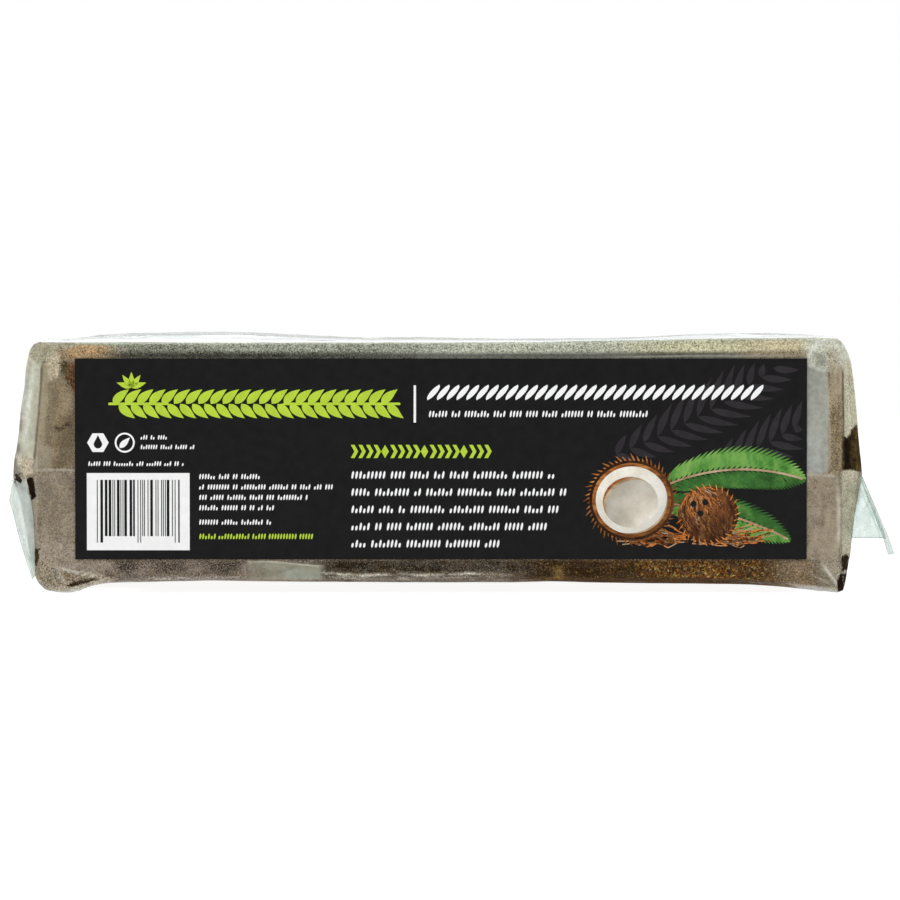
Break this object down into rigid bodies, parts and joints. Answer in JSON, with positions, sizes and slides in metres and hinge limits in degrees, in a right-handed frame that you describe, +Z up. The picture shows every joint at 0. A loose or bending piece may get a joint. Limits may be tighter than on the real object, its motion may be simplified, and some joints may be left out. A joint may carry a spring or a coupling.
{
  "type": "film-wrapped compressed coconut coir bale",
  "caption": "Brick-shaped bale of compressed coconut coir in loose clear shrink film with end seals and limp corner ears, and a dark printed label on its long narrow side.",
  "frame": {"origin": "middle of the whole object's footprint, on the surface it rests on", "axes": "+X along the bale's length, to the right as the label is seen; +Z up; the label faces -Y"},
  "size_m": [0.222, 0.1066, 0.0651],
  "materials": {
    "coir": "rough pressed plant fibre",
    "clear_film": "clear, slightly hazy shrink film",
    "label_paper": "printed, satin"
  },
  "bodies": {
    "root": {"coir_block": "coir", "film_wrap": "clear_film", "label": "label_paper"}
  },
  "joints": []
}
